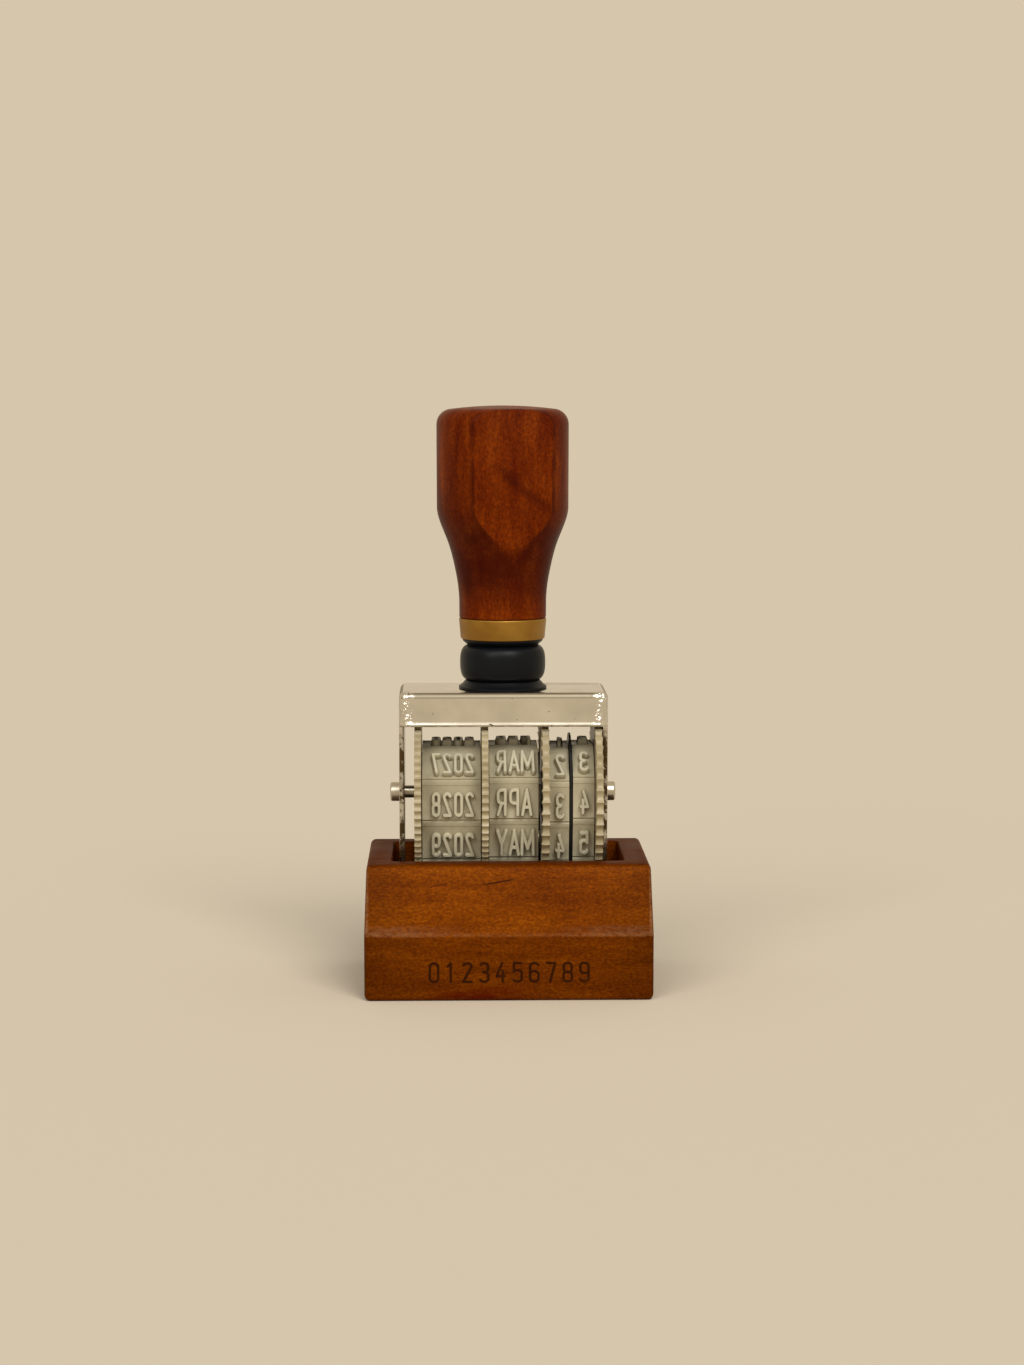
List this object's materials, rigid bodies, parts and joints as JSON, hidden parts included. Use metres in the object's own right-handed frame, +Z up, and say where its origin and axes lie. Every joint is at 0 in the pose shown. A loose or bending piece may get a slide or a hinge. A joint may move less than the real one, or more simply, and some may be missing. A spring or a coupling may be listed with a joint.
{
  "type": "band date stamp",
  "caption": "Hand stamp with turning date bands and thumb wheels in a chromed frame, a turned wooden handle, and a wooden rest it lifts out of.",
  "frame": {"origin": "middle of the wooden rest's underside, on the surface that it stands on", "axes": "+Z up along the handle, +X along the axle towards the day wheels, -Y towards the person who reads the bands"},
  "size_m": [0.0454, 0.032, 0.0929],
  "materials": {
    "rest_wood": "reddish brown varnish, satin",
    "grip_wood": "deep red-brown varnish, gloss",
    "chrome": "bright plated",
    "steel": "plain",
    "ivory_plastic": "satin moulded",
    "pale_nylon": "moulded",
    "grey_rubber": "satin moulded",
    "black_plastic": "gloss",
    "brass": "lacquered"
  },
  "bodies": {
    "rest": {"rest_block": "rest_wood"},
    "stamp": {"frame": "chrome", "axle": "steel", "platen": "steel", "day_divider": "steel", "year_band": "grey_rubber", "month_band": "grey_rubber", "tens_band": "grey_rubber", "units_band": "grey_rubber", "handle_screw": "steel", "screw_washer": "steel", "collar": "black_plastic", "ferrule": "brass", "handle": "grip_wood"},
    "year_dial": {"year_wheel": "ivory_plastic", "year_drum": "pale_nylon"},
    "month_dial": {"month_wheel": "ivory_plastic", "month_drum": "pale_nylon"},
    "tens_dial": {"tens_wheel": "ivory_plastic", "tens_drum": "pale_nylon"},
    "units_dial": {"units_wheel": "ivory_plastic", "units_drum": "pale_nylon"}
  },
  "joints": [
    {"name": "stamp_lift", "type": "slide", "parent": "rest", "child": "stamp", "axis": [0, 0, 1], "range_m": [0, 0.05]},
    {"name": "year_turn", "type": "hinge", "parent": "stamp", "child": "year_dial", "pos_m": [-0.0007, 0, 0.03094], "axis": [1, 0, 0], "continuous": true},
    {"name": "month_turn", "type": "hinge", "parent": "stamp", "child": "month_dial", "pos_m": [-0.0007, 0, 0.03094], "axis": [1, 0, 0], "continuous": true},
    {"name": "tens_turn", "type": "hinge", "parent": "stamp", "child": "tens_dial", "pos_m": [-0.0007, 0, 0.03094], "axis": [1, 0, 0], "continuous": true},
    {"name": "units_turn", "type": "hinge", "parent": "stamp", "child": "units_dial", "pos_m": [-0.0007, 0, 0.03094], "axis": [1, 0, 0], "continuous": true}
  ]
}
